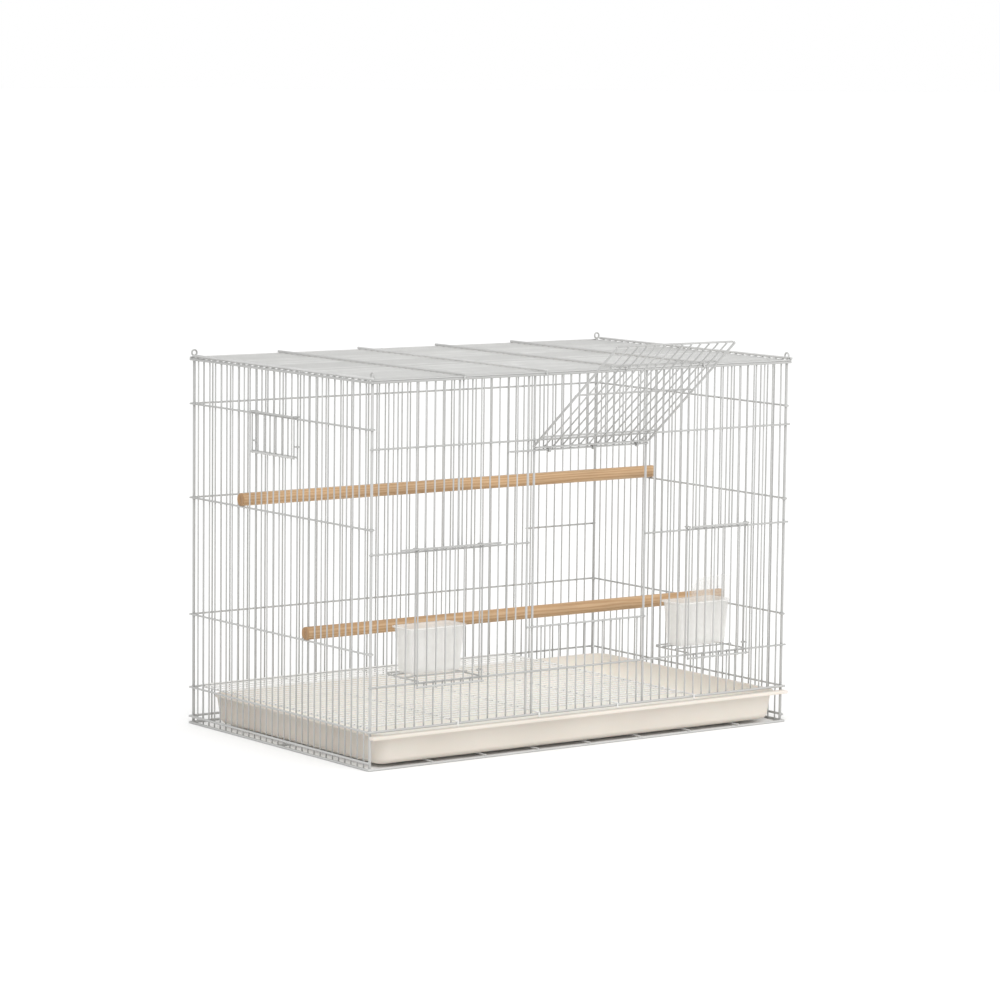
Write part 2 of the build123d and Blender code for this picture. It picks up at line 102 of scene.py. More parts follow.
def gridFaces(rows, columns, closeRows=False, closeColumns=True):
    # quads between neighbouring points of a rows by columns grid, wrapped where it closes
    r = np.arange(rows if closeRows else rows - 1)[:, None]
    c = np.arange(columns if closeColumns else columns - 1)[None, :]
    nextR, nextC = (r + 1) % rows, (c + 1) % columns
    corners = [r * columns + c, r * columns + nextC, nextR * columns + nextC, nextR * columns + c]
    return np.stack(np.broadcast_arrays(*corners), -1).reshape(-1, 4)


def fanCaps(sides, count, firstPole, lastPole, firstPoint=0):
    # triangles from one pole to the first of count rings of points, and from the other to the last
    k, last = np.arange(sides), firstPoint + (count - 1) * sides
    return np.concatenate([
        np.stack([np.full(sides, firstPole), firstPoint + (k + 1) % sides, firstPoint + k], -1),
        np.stack([np.full(sides, lastPole), last + k, last + (k + 1) % sides], -1),
    ])


def unit(v):
    return v / np.maximum(np.linalg.norm(v, axis=-1, keepdims=True), 1e-12)


def acrossOf(direction):
    # two unit vectors square to each direction
    helper = np.where(np.abs(direction[..., 2:3]) < 0.9, [0.0, 0.0, 1.0], [1.0, 0.0, 0.0])
    first = unit(np.cross(helper, direction))
    return first, np.cross(direction, first)


def circlesOn(first, second, sides):
    # unit circles: point = cos(angle) * first + sin(angle) * second
    angle = 2 * np.pi * np.arange(sides) / sides
    return np.cos(angle)[None, :, None] * first[:, None] + np.sin(angle)[None, :, None] * second[:, None]


wireLook = {
    "sides": 10,             # facets round a wire
    "tones": (0.1, 0.42),    # a wire's tone is drawn between these
    "domeShare": 0.55,       # height of the rounded end, as a share of the radius
    "shoulder": 0.72,        # radius of the ring between the full radius and the pole, as a share
    "shoulderIn": 0.28,      # that ring's distance from the pole, as a share of the dome
    "poleOut": 0.4,          # a bent wire's pole past that ring, as a share of the dome on it
    "coatSwell": 1.03,       # the powder coat rounds the wire out a little
    "beadSpread": 1.35,      # weld bead radius along the wires, in wire radii
    "beadHeight": 0.75,      # and across the joint
    "beadRow": 0.62,         # height of a bead's outer rings, as a share of its own
    "beadSides": 8,
}
# painted light: the roof, base frame and floor grille wires get lighter tones, as if they caught more light
paintedLightTones = {"floor_grille": (0.8, 1.0), "roof_panel": (0.34, 0.54), "base_frame": (0.3, 0.5)}
gauge = {"floor_grille": 0.82}       # tubes drawn finer than the solids they follow
dice = np.random.default_rng(20)


def straightWires(parts, start, end, radius, tones=wireLook["tones"]):
    # point = end + axis * along + radius * share * (cos, sin) across,
    # with share falling to the pole at each domed end
    start, end, radius = (np.asarray(values, float) for values in (start, end, radius))
    sides, dome, shoulder = wireLook["sides"], wireLook["domeShare"], wireLook["shoulder"]
    n, shoulderIn = len(start), wireLook["shoulderIn"] * dome
    axis = unit(end - start)
    ring = circlesOn(*acrossOf(axis), sides)
    shares = np.array([shoulder, 1.0, 1.0, shoulder])
    inset = np.array([shoulderIn, dome, -dome, -shoulderIn])
    r = radius[:, None, None, None]
    bases = np.stack([start, start, end, end], 1)[:, :, None]
    along = axis[:, None, None] * inset[None, :, None, None] * r
    rows = bases + along + ring[:, None] * shares[None, :, None, None] * r
    block = np.concatenate([start[:, None], rows.reshape(n, -1, 3), end[:, None]], 1)
    size, count = block.shape[1], len(shares)
    tone = np.repeat(dice.uniform(*tones, n), size)
    parts.addCopies(block, 1 + gridFaces(count, sides), fanCaps(sides, count, 0, size - 1, 1), tone)


def bentWire(parts, path, across, radius, sides=wireLook["sides"], closed=False):
    # a round section carried along a bent path; across is any vector near square to it at each point
    path = np.asarray(path, float)
    across = np.broadcast_to(np.asarray(across, float), path.shape)
    radius = np.broadcast_to(np.asarray(radius, float), len(path))
    if closed:
        along = unit(np.roll(path, -1, 0) - np.roll(path, 1, 0))
    else:
        along = unit(np.gradient(path, axis=0))
    first = unit(across - along * (across * along).sum(-1, keepdims=True))
    second = np.cross(along, first)
    tone = dice.uniform(*wireLook["tones"])
    if closed:
        rows = path[:, None] + circlesOn(first, second, sides) * radius[:, None, None]
        parts.add(rows, gridFaces(len(path), sides, closeRows=True), tone=tone)
        return
    dome, shoulder, endWay = wireLook["domeShare"], wireLook["shoulder"], along[[0, -1]]
    out = endWay * radius[[0, -1], None] * dome * shoulder
    path = np.concatenate([path[:1] - out[:1], path, path[-1:] + out[1:]])
    first = np.concatenate([first[:1], first, first[-1:]])
    second = np.concatenate([second[:1], second, second[-1:]])
    radius = np.concatenate([[radius[0] * shoulder], radius, [radius[-1] * shoulder]])
    rows = path[:, None] + circlesOn(first, second, sides) * radius[:, None, None]
    out = endWay * radius[[0, -1], None] * dome * wireLook["poleOut"]
    poles = [path[0] - out[0], path[-1] + out[1]]
    count = len(path)
    caps = fanCaps(sides, count, count * sides, count * sides + 1)
    parts.add(np.concatenate([rows.reshape(-1, 3), poles]), gridFaces(count, sides), caps, tone)


def weldBeads(parts, centre, normal, along, radius):
    # an ellipsoid at each weld: long across the joint's plane, low along the line between the two wires
    sides, n = wireLook["beadSides"], len(centre)
    if not n:
        return
    lift = np.array([-wireLook["beadRow"], 0.0, wireLook["beadRow"]])[None, :, None, None]
    spread = np.sqrt(1 - lift ** 2)
    flat = circlesOn(along, np.cross(normal, along), sides)
    wide = radius[:, None, None, None] * wireLook["beadSpread"]
    high = radius[:, None, None, None] * wireLook["beadHeight"]
    rows = centre[:, None, None] + flat[:, None] * spread * wide + normal[:, None, None] * lift * high
    pole = normal * high[:, 0, 0]
    block = np.concatenate([(centre - pole)[:, None], rows.reshape(n, -1, 3), (centre + pole)[:, None]], 1)
    count = lift.size
    caps = fanCaps(sides, count, 0, block.shape[1] - 1, 1)
    parts.addCopies(block, 1 + gridFaces(count, sides), caps, weld=1.0)


mergeStep = 2e-6         # corners closer than this are one corner


def solidsOf(node):
    # the node's separate solids as point arrays: triangles that share a corner take the lowest
    # label until none changes
    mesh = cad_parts[node].data
    points = np.zeros(len(mesh.vertices) * 3, np.float32)
    mesh.vertices.foreach_get("co", points)
    points = points.reshape(-1, 3).astype(float)
    corners = np.zeros(len(mesh.loops), np.int32)
    mesh.loops.foreach_get("vertex_index", corners)
    keys, index = np.unique(np.round(points / mergeStep).astype(np.int64), axis=0, return_inverse=True)
    triangles = index.ravel()[corners].reshape(-1, 3)
    label = np.arange(len(keys))
    while True:
        lowest = label.copy()
        np.minimum.at(lowest, triangles.ravel(), np.repeat(label[triangles].min(1), 3))
        lowest = lowest[lowest]
        if (lowest == label).all():
            break
        label = lowest
    places = keys * mergeStep
    return [places[label == n] for n in np.unique(label)]


def wiresOf(solids):
    # start, end and radius of each straight eight-sided wire: its ends along the axis of greatest spread
    rows = []
    for p in solids:
        if len(p) != wireCorners:
            continue
        middle = p.mean(0)
        axis = np.linalg.svd(p - middle, full_matrices=False)[2][0]
        along = (p - middle) @ axis
        off = np.linalg.norm((p - middle) - along[:, None] * axis, axis=1)
        flats = off.max() * np.cos(np.pi / 8)
        rows.append(np.concatenate([middle + axis * along.min(), middle + axis * along.max(), [flats]]))
    rows = np.array(rows).reshape(-1, 7)
    return rows[:, :3], rows[:, 3:6], rows[:, 6]


weldRule = {
    "nearest": 0.5, "farthest": 1.3,     # distance of two axes that meet, in shares of both radii
    "slack": 0.6,                        # how far past a wire's end it may be, in the same shares
    "leastSquare": 0.5,                  # squared sine of the angle between the two
}


def crossings(start, end, radius):
    # least distance between every pair of runs: kept where the two surfaces meet inside both
    axis, length = unit(end - start), np.linalg.norm(end - start, axis=1)
    i, j = np.triu_indices(len(start), 1)
    between = start[i] - start[j]
    dot = (axis[i] * axis[j]).sum(1)
    a, b = (axis[i] * between).sum(1), (axis[j] * between).sum(1)
    square = np.maximum(1 - dot ** 2, 1e-9)
    s, t = (dot * b - a) / square, (b - dot * a) / square
    p, q = start[i] + axis[i] * s[:, None], start[j] + axis[j] * t[:, None]
    gap, both = np.linalg.norm(p - q, axis=1), radius[i] + radius[j]
    slack = weldRule["slack"] * both
    good = (square > weldRule["leastSquare"]) & (gap < weldRule["farthest"] * both)
    good &= gap > weldRule["nearest"] * both
    good &= (s > -slack) & (s < length[i] + slack) & (t > -slack) & (t < length[j] + slack)
    i, j, p, q, both = i[good], j[good], p[good], q[good], both[good]
    share = (radius[i] / both)[:, None]
    return p + (q - p) * share, unit(q - p), axis[i], np.minimum(radius[i], radius[j])


def newMaterial(name):
    # a material with its tree, its shader and its object coordinates
    material = bpy.data.materials.new(name)
    material.use_nodes = True
    tree = material.node_tree
    place = tree.nodes.new("ShaderNodeTexCoord").outputs["Object"]
    return material, tree, tree.nodes["Principled BSDF"], place


def node(tree, kind, **settings):
    made = tree.nodes.new(kind)
    for key, value in settings.items():
        if hasattr(made, key):
            setattr(made, key, value)
        else:
            made.inputs[key.replace("_", " ")].default_value = value
    return made


def feed(tree, socket, value):
    # a socket takes another's output, a plain number or a colour
    if isinstance(value, bpy.types.NodeSocket):
        tree.links.new(value, socket)
    else:
        socket.default_value = value if socket.type == "VALUE" else (*value, 1)


def setInputs(shader, values):
    for name, value in values.items():
        shader.inputs[name].default_value = value


def attribute(tree, name):
    return node(tree, "ShaderNodeAttribute", attribute_name=name).outputs["Fac"]


def mathOf(tree, operation, *values):
    made = node(tree, "ShaderNodeMath", operation=operation)
    for socket, value in zip(made.inputs, values):
        feed(tree, socket, value)
    return made.outputs[0]


def ramp(tree, source, stops):
    # colours along a 0 to 1 value
    made = tree.nodes.new("ShaderNodeValToRGB")
    while len(made.color_ramp.elements) < len(stops):
        made.color_ramp.elements.new(0.5)
    for element, (place, colour) in zip(made.color_ramp.elements, stops):
        element.position, element.color = place, (*colour, 1)
    tree.links.new(source, made.inputs["Fac"])
    return made.outputs["Color"]


def mapTo(tree, source, limits, socket):
    # a 0 to 1 value, stretched between two limits
    made = node(tree, "ShaderNodeMapRange", To_Min=limits[0], To_Max=limits[1])
    tree.links.new(source, made.inputs["Value"])
    tree.links.new(made.outputs["Result"], socket)


def mixColour(tree, factor, a, b, blend="MIX"):
    made = tree.nodes.new("ShaderNodeMix")
    made.data_type, made.blend_type = "RGBA", blend
    for number, value in ((0, factor), (6, a), (7, b)):      # the factor and the two colour sockets
        feed(tree, made.inputs[number], value)
    return made.outputs[2]


def bump(tree, shader, height, strength, distance):
    made = node(tree, "ShaderNodeBump", Strength=strength, Distance=distance)
    tree.links.new(height, made.inputs["Height"])
    tree.links.new(made.outputs["Normal"], shader.inputs["Normal"])


def stretched(tree, coordinates, scale, shift=(0.0, 0.0, 0.0)):
    made = node(tree, "ShaderNodeMapping", Location=shift, Scale=scale)
    tree.links.new(coordinates, made.inputs["Vector"])
    return made.outputs["Vector"]


def noise(tree, coordinates, scale, detail=3.0, roughness=0.5, stretch=None):
    # fractal noise on object coordinates, optionally stretched along an axis
    made = node(tree, "ShaderNodeTexNoise", Scale=scale, Detail=detail, Roughness=roughness)
    if stretch:
        coordinates = stretched(tree, coordinates, stretch)
    tree.links.new(coordinates, made.inputs["Vector"])
    return made.outputs["Fac"]


# In the looks below a noise has scale, detail, roughness and stretch, a bump has strength and depth,
# and stops have place and colour
# The coat's stops run from grey to near white: the grey is painted shade on the white coat, and the
# near-white end is painted light
coatLook = {
    "stops": [(0.2, (0.42, 0.42, 0.41)), (0.6, (0.54, 0.54, 0.53)), (1.0, (0.88, 0.88, 0.87))],
    "weldShade": 0.86, "cloud": (30.0, 4.0, 0.6), "cloudShare": 0.25, "roughness": (0.34, 0.5),
    "peel": (2600.0, 2.0), "peelBump": (0.25, 0.0001),
    "finish": {"Coat Weight": 0.2, "Coat Roughness": 0.25},
}


def powderCoat():
    # white coat: colour = ramp(tone per wire + share * cloud noise), dulled on weld beads,
    # with orange-peel bump; the ramp's greys are painted shade on the white coat, and the roof, base frame
    # and floor grille get raised tones as painted light
    look = coatLook
    material, tree, shader, place = newMaterial("powderCoat")
    cloud = noise(tree, place, *look["cloud"])
    both = mathOf(tree, "MULTIPLY_ADD", cloud, look["cloudShare"], attribute(tree, "tone"))
    base = ramp(tree, both, look["stops"])
    dull = mixColour(tree, 1.0, base, (look["weldShade"],) * 3, "MULTIPLY")
    tree.links.new(mixColour(tree, attribute(tree, "weld"), base, dull), shader.inputs["Base Color"])
    mapTo(tree, cloud, look["roughness"], shader.inputs["Roughness"])
    bump(tree, shader, noise(tree, place, *look["peel"]), *look["peelBump"])
    setInputs(shader, look["finish"])
    return material


# The tray's inner floor colour is painted light: lighter than the walls, as if lit from above
trayLook = {
    "stops": [(0.3, (0.69, 0.64, 0.57)), (0.75, (0.75, 0.70, 0.63))], "paintedLitFloor": (0.90, 0.87, 0.80),
    "scuff": (0.82, 0.78, 0.72), "scuffStops": [(0.62, (0, 0, 0)), (0.72, (0.25, 0.25, 0.25))],
    "roughness": (0.42, 0.6), "cloud": (9.0, 3.0, 0.55), "scuffs": (60.0, 5.0, 0.7, (6.0, 0.5, 3.0)),
    "grain": (900.0, 2.0), "grainBump": (0.2, 0.0002),
    "finish": {"Subsurface Weight": 0.08, "Subsurface Scale": 0.004},
}


def trayPlastic():
    # cream plastic: slow cloudy tone, a lighter inner floor where the weld attribute is 1 as painted light
    # from above, fine moulded grain, and faint scuffs stretched along the slide
    look = trayLook
    material, tree, shader, place = newMaterial("trayPlastic")
    cloud, scuff = noise(tree, place, *look["cloud"]), noise(tree, place, *look["scuffs"])
    worn = ramp(tree, scuff, look["scuffStops"])
    # painted light: the inner floor mixed to a lighter cream
    base = mixColour(tree, attribute(tree, "weld"), ramp(tree, cloud, look["stops"]), look["paintedLitFloor"])
    tree.links.new(mixColour(tree, worn, base, look["scuff"]), shader.inputs["Base Color"])
    mapTo(tree, scuff, look["roughness"], shader.inputs["Roughness"])
    bump(tree, shader, noise(tree, place, *look["grain"]), *look["grainBump"])
    setInputs(shader, look["finish"])
    return material


woodLook = {
    "stops": [(0.15, (0.60, 0.405, 0.235)), (0.85, (0.49, 0.30, 0.155))],    # early and late wood
    "streak": (0.42, 0.25, 0.12), "streakStops": [(0.5, (0, 0, 0)), (0.78, (0.7, 0.7, 0.7))],
    "warmStops": [(0.35, (0.86, 0.86, 0.86)), (0.65, (1.08, 1.06, 1.02))],
    "end": (0.36, 0.21, 0.10), "endAt": 0.3062,      # end grain lies farther than this from the middle
    "rings": {"Scale": 95.0, "Distortion": 5.0, "Detail": 3.0, "Detail_Scale": 1.6},
    "ringStretch": (0.06, 1.0, 1.0), "pith": (0.0, 0.013, -0.02),
    "fibre": (220.0, 4.0, 0.65, (0.05, 3.0, 3.0)), "fibreBump": (0.35, 0.0003),
    "slow": (7.0, 2.0, 0.5, (1.0, 4.0, 4.0)), "roughness": (0.5, 0.68),
}


def perchWood():
    # sanded dowel: rings round a pith off to one side, warped by slow noise, fibres stretched
    # along X, darker end grain
    look = woodLook
    material, tree, shader, place = newMaterial("perchWood")
    rings = node(tree, "ShaderNodeTexWave", wave_type="RINGS", rings_direction="X", **look["rings"])
    aside = stretched(tree, place, look["ringStretch"], look["pith"])
    tree.links.new(aside, rings.inputs["Vector"])
    fibre, slow = noise(tree, place, *look["fibre"]), noise(tree, place, *look["slow"])
    base = ramp(tree, rings.outputs["Fac"], look["stops"])
    base = mixColour(tree, ramp(tree, fibre, look["streakStops"]), base, look["streak"])
    base = mixColour(tree, 1.0, base, ramp(tree, slow, look["warmStops"]), "MULTIPLY")
    split = tree.nodes.new("ShaderNodeSeparateXYZ")
    tree.links.new(place, split.inputs["Vector"])
    outward = mathOf(tree, "ABSOLUTE", split.outputs["X"])
    ends = mathOf(tree, "GREATER_THAN", outward, look["endAt"])
    tree.links.new(mixColour(tree, ends, base, look["end"]), shader.inputs["Base Color"])
    mapTo(tree, fibre, look["roughness"], shader.inputs["Roughness"])
    bump(tree, shader, fibre, *look["fibreBump"])
    return material


clearLook = {
    "stops": [(0.3, (0.91, 0.90, 0.87)), (0.7, (0.96, 0.95, 0.93))], "roughness": (0.12, 0.24),
    "smudge": (45.0, 3.0, 0.6), "smudgeBump": (0.08, 0.0004),
    "cup": (0.38, 0.48), "hood": (0.14, 0.20),       # alpha of each
    "finish": {"Specular IOR Level": 0.6},
}


def clearPlastic(name):
    # thin pale plastic: see-through share = 1 - alpha, with alpha and roughness both mapped from smudge noise
    look = clearLook
    material, tree, shader, place = newMaterial(name + "Plastic")
    smudge = noise(tree, place, *look["smudge"])
    mapTo(tree, smudge, look["roughness"], shader.inputs["Roughness"])
    mapTo(tree, smudge, look[name], shader.inputs["Alpha"])
    tree.links.new(ramp(tree, smudge, look["stops"]), shader.inputs["Base Color"])
    bump(tree, shader, smudge, *look["smudgeBump"])
    setInputs(shader, look["finish"])
    return material


paperLook = {
    "mottle": (3.0, 2.0), "stops": [(0.3, (0.95, 0.95, 0.947)), (0.7, (0.965, 0.965, 0.962))],
    "finish": {"Roughness": 0.9, "Specular IOR Level": 0.1},
}


def floorPaper():
    # near-white paper sweep with a faint mottle
    material, tree, shader, place = newMaterial("floorPaper")
    mottle = noise(tree, place, *paperLook["mottle"])
    tree.links.new(ramp(tree, mottle, paperLook["stops"]), shader.inputs["Base Color"])
    setInputs(shader, paperLook["finish"])
    return material


coat, cream, wood, paper = powderCoat(), trayPlastic(), perchWood(), floorPaper()
cupClear, hoodClear = clearPlastic("cup"), clearPlastic("hood")
print("materials made")


eyeShape = {
    "steps": 28, "neckSteps": 6,
    "neck": (-2.6, 0.2), "neckRadius": (1.55, 1.05),     # heights from the eye's foot, and radii, in mm
}


def ringLoop(parts, solid):
    # a post's eye: a torus on the ring's own plane, with a short neck down to the post
    low, high = solid.min(0), solid.max(0)
    centre, size = (low + high) / 2, high - low
    thin = int(np.argmin(size))
    bar = size[thin] / 2
    reach = size[(thin + 1) % 3] / 2 - bar
    angle = np.linspace(0, 2 * np.pi, eyeShape["steps"], endpoint=False)
    normal = np.eye(3)[thin]
    sideways = np.cross(normal, upward)
    path = centre + reach * (np.cos(angle)[:, None] * sideways + np.sin(angle)[:, None] * upward)
    bentWire(parts, path, normal, bar, closed=True)
    steps = eyeShape["neckSteps"]
    neck = centre - [0, 0, reach] + np.linspace(*eyeShape["neck"], steps)[:, None] * mm * upward
    bentWire(parts, neck, normal, np.linspace(*eyeShape["neckRadius"], steps) * mm)


curlShape = {"bar": 0.78 * mm, "turns": 2.25, "steps": 64}


def hingeCurl(parts, solid):
    # a coil of wire round the hinge wire: a helix of two and a quarter turns along X
    low, high = solid.min(0), solid.max(0)
    centre = (low + high) / 2
    bar, steps = curlShape["bar"], curlShape["steps"]
    turn = np.linspace(0, 2 * np.pi * curlShape["turns"], steps)
    along = np.linspace(low[0] + bar, high[0] - bar, steps) - centre[0]
    reach = (high[2] - low[2]) / 2 - bar
    radial = np.stack([np.zeros(steps), np.cos(turn), np.sin(turn)], -1)
    path = centre + reach * radial + along[:, None] * np.array([1.0, 0, 0])
    bentWire(parts, path, radial, bar)


stapleShape = {
    "near": 5 * mm,          # boxes closer than this belong to one guide
    "bendShare": 0.45,       # depth of the rounded back, as a share of its half width
    "gauge": 0.95, "steps": 13, "sides": 8,
}


def stapleLoops(parts, solids):
    # three boxes of a guide become one bent staple: two legs and a rounded back round the upright
    boxes = [(p.min(0), p.max(0)) for p in solids if len(p) == boxCorners]
    centres = np.array([(low + high) / 2 for low, high in boxes]).reshape(-1, 3)
    left = list(range(len(boxes)))
    while left:
        near = [n for n in left if np.linalg.norm(centres[n] - centres[left[0]]) < stapleShape["near"]]
        left = [n for n in left if n not in near]
        low = np.min([boxes[n][0] for n in near], 0)
        high = np.max([boxes[n][1] for n in near], 0)
        size = high - low
        bar = size[2] / 2
        deep = 1 if size[1] > size[0] else 0      # the staple's legs run along this axis
        wide = 1 - deep
        middle, half = (low + high) / 2, size[wide] / 2 - bar
        angle = np.linspace(0, np.pi, stapleShape["steps"])
        bulge = half * stapleShape["bendShare"]
        bend = np.zeros((len(angle), 3))
        bend[:, wide] = middle[wide] + half * np.cos(angle)
        bend[:, deep] = high[deep] - bar - bulge + bulge * np.sin(angle)
        legs = np.zeros((2, 3))
        legs[0, wide], legs[1, wide] = middle[wide] + half, middle[wide] - half
        legs[:, deep] = low[deep]
        path = np.concatenate([legs[:1], bend, legs[1:]])
        path[:, 2] = middle[2]
        bentWire(parts, path, upward, bar * stapleShape["gauge"], sides=stapleShape["sides"])


postNodes = [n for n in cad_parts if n.startswith("corner_rod")]
postRuns = [wiresOf(solidsOf(n)) for n in postNodes]
wireNodes = {
    "left_panel": "cage", "right_panel": "cage", "back_panel": "cage", "front_panel": "cage",
    "roof_panel": "cage", "base_frame": "cage", "floor_grille": "cage",
    "cup_holder_left": "cage", "cup_holder_right": "cage",
    "main_door": "main_door", "feeder_door_left": "feeder_door_left",
    "feeder_door_right": "feeder_door_right", "side_door": "side_door",
}
framed = ("left_panel", "right_panel", "back_panel", "front_panel", "base_frame")

clipLook = {
    "railHeights": (0.044, 0.132, 0.272, 0.384), "bar": 1.0 * mm, "reach": 2.78 * mm,
    "tiltShare": 0.25, "steps": 20, "sides": 8,
}


def clipRings(parts, side):
    # the end of each side rail curls once round the post: a flat ring at the rail's height
    bar, reach = clipLook["bar"], clipLook["reach"]
    angle = np.linspace(0, 2 * np.pi, clipLook["steps"], endpoint=False)
    for rod in [run[0][0] for run in postRuns if run[0][0][0] * side > 0]:
        for z in clipLook["railHeights"]:
            path = np.stack([
                rod[0] + reach * np.cos(angle),
                rod[1] + reach * np.sin(angle),
                z + clipLook["tiltShare"] * bar * np.sin(angle),
            ], -1)
            bentWire(parts, path, upward, bar, sides=clipLook["sides"], closed=True)


guideLook = {
    "at": (-0.182, -0.1861), "foot": 0.2429, "radius": 1.4 * mm, "knob": 1.9 * mm, "knobSink": 0.4 * mm,
}


def guideBar(parts):
    # a thicker upright above the left feeder door, with a small knob where it meets the roof
    x, y = guideLook["at"]
    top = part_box("left_panel")[1][2]
    straightWires(parts, [[x, y, guideLook["foot"]]], [[x, y, top]], [guideLook["radius"]])
    knob = np.array([[x, y, top - guideLook["knobSink"]]])
    weldBeads(parts, knob, upward[None], np.array([[1.0, 0, 0]]), np.array([guideLook["knob"]]))


def wirePiece(nodeName, body):
    # every straight wire of the node as a round tube, with a bead wherever two of them meet
    solids = solidsOf(nodeName)
    start, end, radius = wiresOf(solids)
    radius = radius * wireLook["coatSwell"] * gauge.get(nodeName, 1.0)
    parts = Parts()
    # the raised tones of the roof, base frame and floor grille are painted light
    straightWires(parts, start, end, radius, paintedLightTones.get(nodeName, wireLook["tones"]))
    runs = [(start, end, radius)] + (postRuns if nodeName in framed else [])
    weldBeads(parts, *crossings(*(np.concatenate(values) for values in zip(*runs))))
    stapleLoops(parts, solids)
    if nodeName in ("left_panel", "right_panel"):
        clipRings(parts, -1 if nodeName == "left_panel" else 1)
    if nodeName == "front_panel":
        guideBar(parts)
    piece = parts.piece(nodeName + "_wires", coat)
    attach(piece, body)
    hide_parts(nodeName)


for nodeName, body in wireNodes.items():
    wirePiece(nodeName, body)
print("wire panels and doors made")

for nodeName in postNodes:
    solids = solidsOf(nodeName)
    start, end, radius = wiresOf(solids)
    parts = Parts()
    straightWires(parts, start, end, radius * wireLook["coatSwell"])
    for solid in solids:
        if len(solid) != wireCorners:
            ringLoop(parts, solid)
    piece = parts.piece(nodeName + "_eye", coat)
    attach(piece, "cage")
    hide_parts(nodeName)

parts = Parts()
for solid in solidsOf("hinge_loops"):
    hingeCurl(parts, solid)
curls = parts.piece("hinge_curls", coat)
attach(curls, "main_door")
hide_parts("hinge_loops")
print("corner rods and hinge made")


dowelShape = {
    "sides": 40, "along": 60, "softEdge": 0.9 * mm, "edgeSteps": 5, "plainFrom": 10 * mm,
    "wobble": 0.006, "wobbleRate": 31.0,      # unevenness as a share of the radius, and radians a metre
    "slotHalf": (8.0, 1.2, 12.0),             # half sizes of the slot's cutter, in mm
}
signs = [[sx, sy, sz] for sx in (-1, 1) for sy in (-1, 1) for sz in (-1, 1)]
boxFaces = [[0, 1, 3, 2], [4, 6, 7, 5], [0, 4, 5, 1], [2, 3, 7, 6], [0, 2, 6, 4], [1, 5, 7, 3]]


def dowel(nodeName, pieceName):
    # a turned profile along X: radius eases to the flat ends over a rounded edge, with a slot cut
    # by a box at each end
    low, high = (np.array(v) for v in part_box(nodeName))
    d, radius, centre = dowelShape, (high[2] - low[2]) / 2, (low + high) / 2
    edge = np.linspace(0, np.pi / 2, d["edgeSteps"])
    ease, narrow = d["softEdge"] * (1 - np.cos(edge)), d["softEdge"] * (1 - np.sin(edge))
    plain = np.linspace(low[0] + d["plainFrom"], high[0] - d["plainFrom"], d["along"])
    x = np.concatenate([low[0] + ease, plain, high[0] - ease[::-1]])
    r = radius - np.concatenate([narrow, np.zeros(d["along"]), narrow[::-1]])
    angle = 2 * np.pi * np.arange(d["sides"]) / d["sides"]
    wobble = 1 + d["wobble"] * np.sin(d["wobbleRate"] * x)[:, None] * np.cos(angle)[None]
    points = np.stack([
        np.broadcast_to(x[:, None], wobble.shape),
        centre[1] + r[:, None] * wobble * np.cos(angle),
        centre[2] + r[:, None] * wobble * np.sin(angle),
    ], -1)
    rows, sides = points.shape[:2]
    poles = [[x[0], centre[1], centre[2]], [x[-1], centre[1], centre[2]]]
    caps = fanCaps(sides, rows, rows * sides, rows * sides + 1)
    parts = Parts()
    parts.add(np.concatenate([points.reshape(-1, 3), poles]), gridFaces(rows, sides), caps)
    piece = parts.piece(pieceName, wood)
    cutter = Parts()
    corners = np.array(signs) * (np.array(d["slotHalf"]) * mm)
    for endX in (low[0], high[0]):
        cutter.add(corners + [endX, centre[1], centre[2]], boxFaces)
    cut = cutter.piece("slotCutter", wood)
    modifier = piece.modifiers.new("slots", "BOOLEAN")
    modifier.object, modifier.operation, modifier.solver = cut, "DIFFERENCE", "EXACT"
    bpy.context.view_layer.update()
    solid = bpy.data.meshes.new_from_object(piece.evaluated_get(bpy.context.evaluated_depsgraph_get()))
    piece.modifiers.clear()
    piece.data = solid
    bpy.data.objects.remove(cut)
    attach(piece, "cage")
    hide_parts(nodeName)


dowel("perch_upper", "upper_dowel")
dowel("perch_lower", "lower_dowel")
print("perches made")


footSteps, cornerSteps = 7, 10       # points on a foot's arc and on a rounded corner
leastCorner = 0.5 * mm


def roundedOutline(halfX, halfY, corner, steps=cornerSteps):
    # an outline of four quarter-circle corners, as (x, y) rows going round once
    angle = np.linspace(0, np.pi / 2, steps)
    rows = []
    for turn, (sx, sy) in enumerate(((1, 1), (-1, 1), (-1, -1), (1, -1))):
        a = angle + turn * np.pi / 2
        x, y = sx * (halfX - corner) + corner * np.cos(a), sy * (halfY - corner) + corner * np.sin(a)
        rows.append(np.stack([x, y], -1))
    return np.concatenate(rows)


def shellOf(parts, profile, half, corner, centre, frontLimit=-np.inf):
    # rows of (inset, height) carried round a rounded rectangle, closed by an outer and an inner
    # floor; weld is 1 on the inner floor and its foot, which the tray paints lighter as painted light
    rows = []
    for inset, z in profile:
        xy = roundedOutline(half[0] - inset, half[1] - inset, max(corner - inset, leastCorner))
        rows.append(np.column_stack([xy + centre, np.full(len(xy), z)]))
    rows = np.array(rows)
    rows[..., 1] = np.maximum(rows[..., 1], frontLimit)
    count, around = rows.shape[:2]
    poles = [[*centre, profile[0][1]], [*centre, profile[-1][1]]]
    caps = fanCaps(around, count, count * around, count * around + 1)
    # the inner floor rows, which the tray's material paints lighter as painted light
    paintedLitFloor = np.zeros((count, around))
    paintedLitFloor[-footSteps:] = 1.0
    points = np.concatenate([rows.reshape(-1, 3), poles])
    parts.add(points, gridFaces(count, around), caps, weld=np.append(paintedLitFloor, [0.0, 1.0]))


def footArc(floorZ, rim, draft, radius, lift):
    # a quarter turn from the floor into the sloping wall, both moved in by lift:
    # inset = lift + draft * depth share + radius * (1 - sin a)
    rows = []
    for a in np.linspace(0, np.pi / 2, footSteps):
        z = floorZ + lift + radius * (1 - np.cos(a))
        rows.append((lift + draft * (rim - z) / (rim - floorZ) + radius * (1 - np.sin(a)), z))
    return rows


